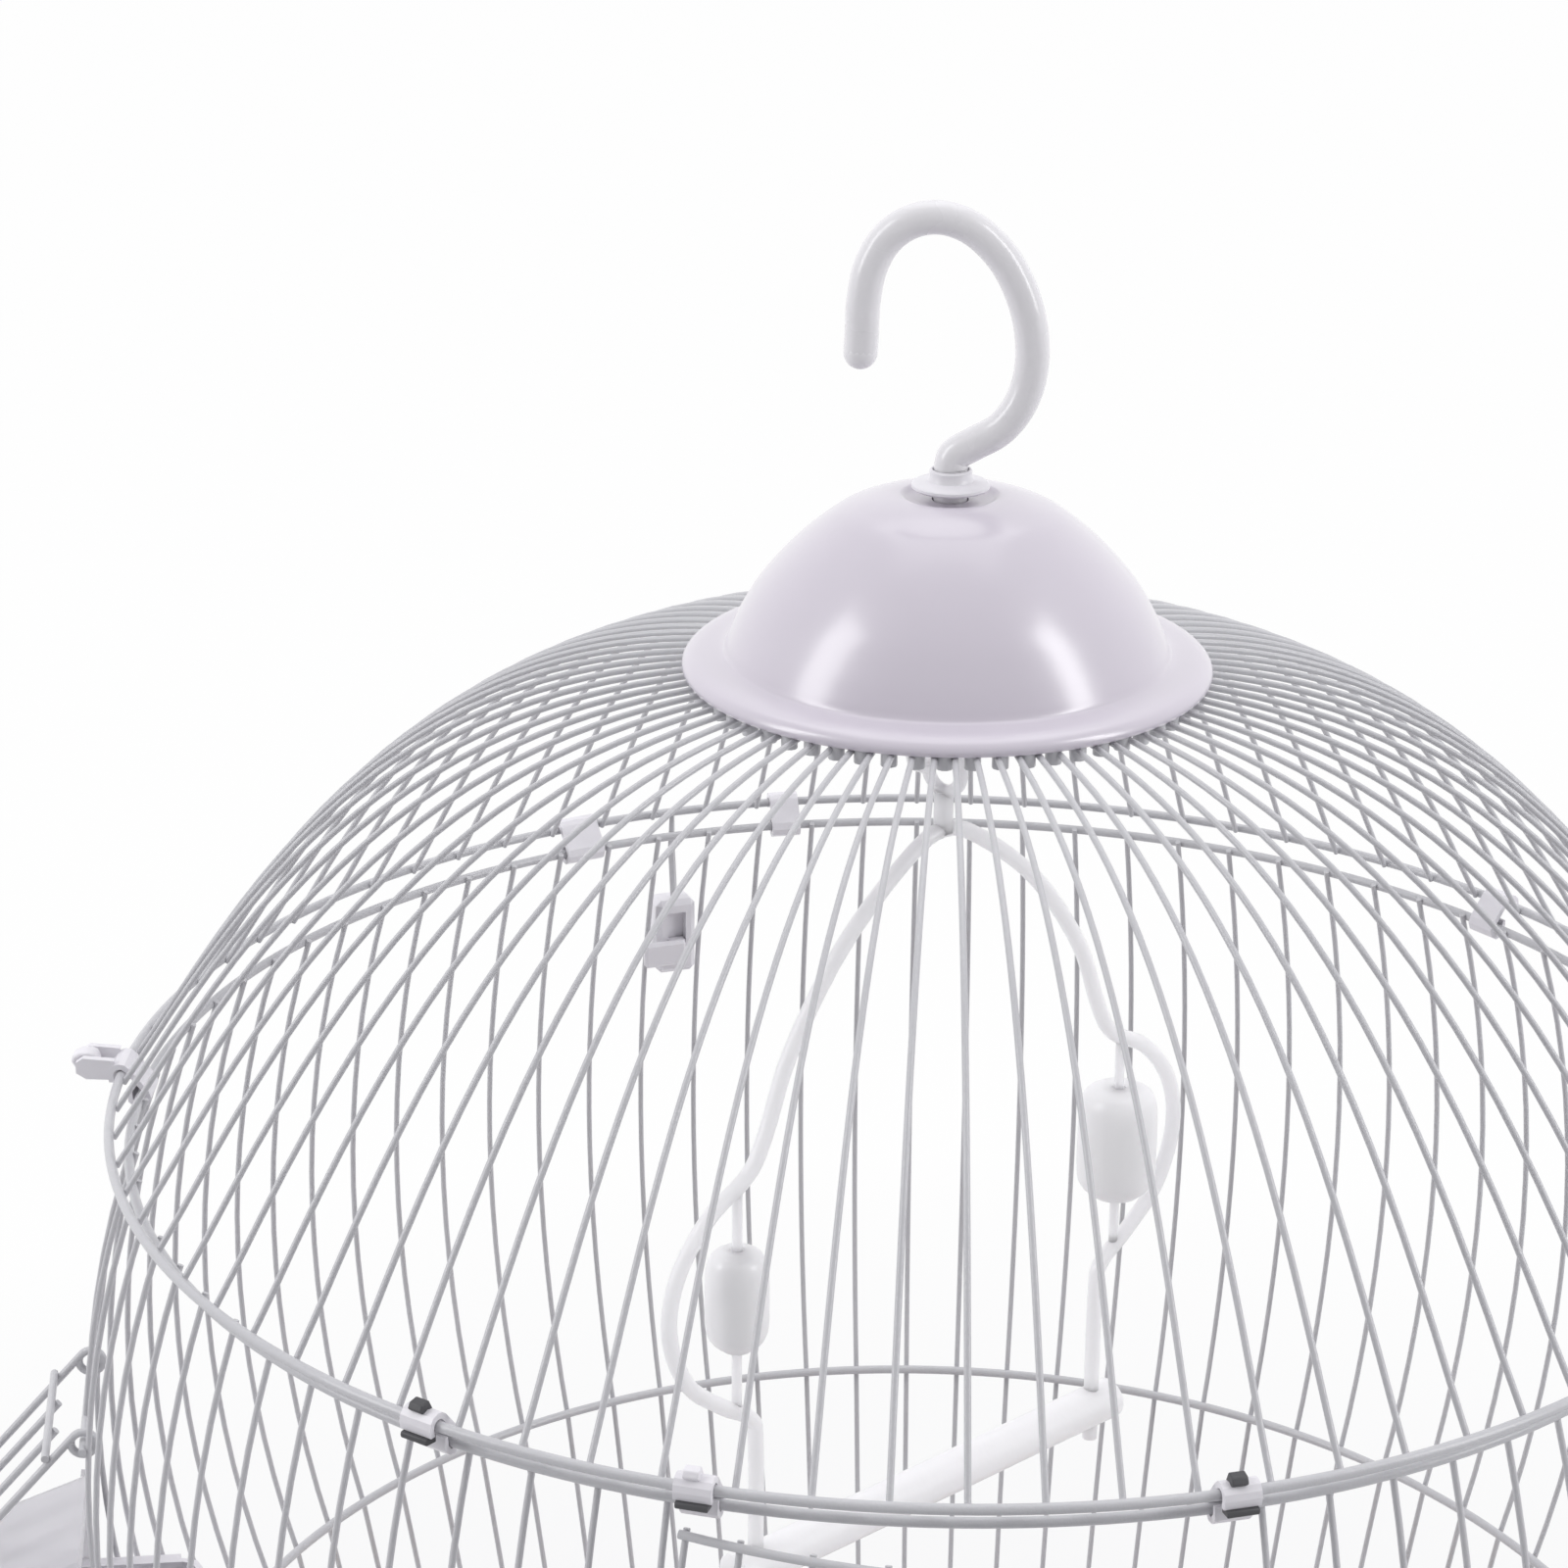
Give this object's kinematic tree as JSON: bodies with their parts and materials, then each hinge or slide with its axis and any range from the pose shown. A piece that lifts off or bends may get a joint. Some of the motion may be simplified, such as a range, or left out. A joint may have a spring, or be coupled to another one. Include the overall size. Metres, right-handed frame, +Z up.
{
  "type": "parrot cage",
  "caption": "Round white wire bird cage with a domed roof, moulded cap and hook, swing, side feeders, perches and a deep round base.",
  "frame": {"origin": "centre of the base's underside, where the cage stands", "axes": "+Z up along the cage's axis, -Y towards the front door, +X to the right as seen from the front"},
  "size_m": [0.4082, 0.3494, 0.4305],
  "materials": {
    "wire": "white powder coat",
    "hook_steel": "smooth white coat",
    "nut_steel": "zinc plated",
    "gloss_white": "glossy moulding",
    "moulded_white": "satin moulding",
    "clear_plastic": "clear milky moulding",
    "perch_wood": "plain turned dowel"
  },
  "bodies": {
    "cage": {"body_panel_front": "wire", "body_panel_front_right": "wire", "body_panel_right": "wire", "body_panel_rear_right": "wire", "body_panel_rear": "wire", "body_panel_rear_left": "wire", "body_panel_left": "wire", "body_panel_front_left": "wire", "roof_grille": "wire", "lower_hoop": "wire", "cap": "gloss_white", "cap_plate": "moulded_white", "ring_clip_front": "moulded_white", "ring_clip_front_left": "moulded_white", "ring_clip_front_right": "moulded_white", "ring_clip_rear": "moulded_white", "ring_clip_rear_left": "moulded_white", "ring_clip_rear_right": "moulded_white", "roof_lock_left": "moulded_white", "roof_lock_right": "moulded_white", "rear_drop_wire": "wire", "rear_catch": "moulded_white", "feeder_hood_left": "clear_plastic", "feeder_hood_right": "clear_plastic", "swing_hanger": "moulded_white", "perch_front": "perch_wood", "perch_rear": "perch_wood", "base_tray": "moulded_white"},
    "hook": {"hook": "hook_steel", "hook_nut": "nut_steel", "hook_collar": "gloss_white"},
    "front_door": {"front_door": "wire"},
    "front_door_latch": {"front_door_latch": "moulded_white"},
    "roof_lock_lever_left": {"roof_lock_lever_left": "moulded_white"},
    "roof_lock_lever_right": {"roof_lock_lever_right": "moulded_white"},
    "rear_catch_slider": {"rear_catch_slider": "moulded_white"},
    "feeder_flap_left": {"feeder_flap_left": "wire"},
    "feeder_flap_right": {"feeder_flap_right": "wire"},
    "feeder_cup_left": {"feeder_cup_left": "moulded_white"},
    "feeder_cup_right": {"feeder_cup_right": "moulded_white"},
    "swing": {"swing_frame": "moulded_white", "swing_perch": "moulded_white"},
    "swing_bead_left": {"swing_bead_left": "gloss_white"},
    "swing_bead_right": {"swing_bead_right": "gloss_white"},
    "base_clip_left": {"base_clip_left": "moulded_white"},
    "base_clip_right": {"base_clip_right": "moulded_white"}
  },
  "joints": [
    {"name": "hook_swivel", "type": "hinge", "parent": "cage", "child": "hook", "pos_m": [0, 0, 0.3776], "axis": [0, 0, 1], "continuous": true},
    {"name": "front_door_hinge", "type": "hinge", "parent": "cage", "child": "front_door", "pos_m": [-0.04509, -0.15987, 0.1785], "axis": [0, 0, -1], "range_deg": [-8, 105]},
    {"name": "front_door_latch_slide", "type": "slide", "parent": "front_door", "child": "front_door_latch", "axis": [0, 0, -1], "range_m": [0, 0.0034]},
    {"name": "roof_lock_hinge_left", "type": "hinge", "parent": "cage", "child": "roof_lock_lever_left", "pos_m": [-0.16697, 0, 0.2562], "axis": [0, 1, 0], "range_deg": [0, 75]},
    {"name": "roof_lock_hinge_right", "type": "hinge", "parent": "cage", "child": "roof_lock_lever_right", "pos_m": [0.16697, 0, 0.2562], "axis": [0, -1, 0], "range_deg": [0, 75]},
    {"name": "rear_catch_slide", "type": "slide", "parent": "cage", "child": "rear_catch_slider", "axis": [0, 0, 1], "range_m": [0, 0.0064]},
    {"name": "feeder_flap_hinge_left", "type": "hinge", "parent": "cage", "child": "feeder_flap_left", "pos_m": [-0.16484, -0.02611, 0.195], "axis": [-0.1564, 0.9877, 0], "range_deg": [-8, 75]},
    {"name": "feeder_flap_hinge_right", "type": "hinge", "parent": "cage", "child": "feeder_flap_right", "pos_m": [0.16484, -0.02611, 0.195], "axis": [-0.1564, -0.9877, 0], "range_deg": [-8, 75]},
    {"name": "feeder_cup_slide_left", "type": "slide", "parent": "cage", "child": "feeder_cup_left", "axis": [-0.9877, -0.1564, 0], "range_m": [0, 0.045]},
    {"name": "feeder_cup_slide_right", "type": "slide", "parent": "cage", "child": "feeder_cup_right", "axis": [0.9877, -0.1564, 0], "range_m": [0, 0.045]},
    {"name": "swing_sway", "type": "hinge", "parent": "cage", "child": "swing", "pos_m": [0, 0, 0.323], "axis": [0.7071, 0.7071, 0], "range_deg": [-25, 25]},
    {"name": "swing_bead_spin_left", "type": "hinge", "parent": "swing", "child": "swing_bead_left", "pos_m": [-0.03712, -0.03712, 0.227], "axis": [0, 0, 1], "continuous": true},
    {"name": "swing_bead_spin_right", "type": "hinge", "parent": "swing", "child": "swing_bead_right", "pos_m": [0.03712, 0.03712, 0.227], "axis": [0, 0, 1], "continuous": true},
    {"name": "base_clip_hinge_left", "type": "hinge", "parent": "cage", "child": "base_clip_left", "pos_m": [-0.1486, 0, 0.024], "axis": [0, -1, 0], "range_deg": [0, 62]},
    {"name": "base_clip_hinge_right", "type": "hinge", "parent": "cage", "child": "base_clip_right", "pos_m": [0.1486, 0, 0.024], "axis": [0, 1, 0], "range_deg": [0, 62]}
  ]
}
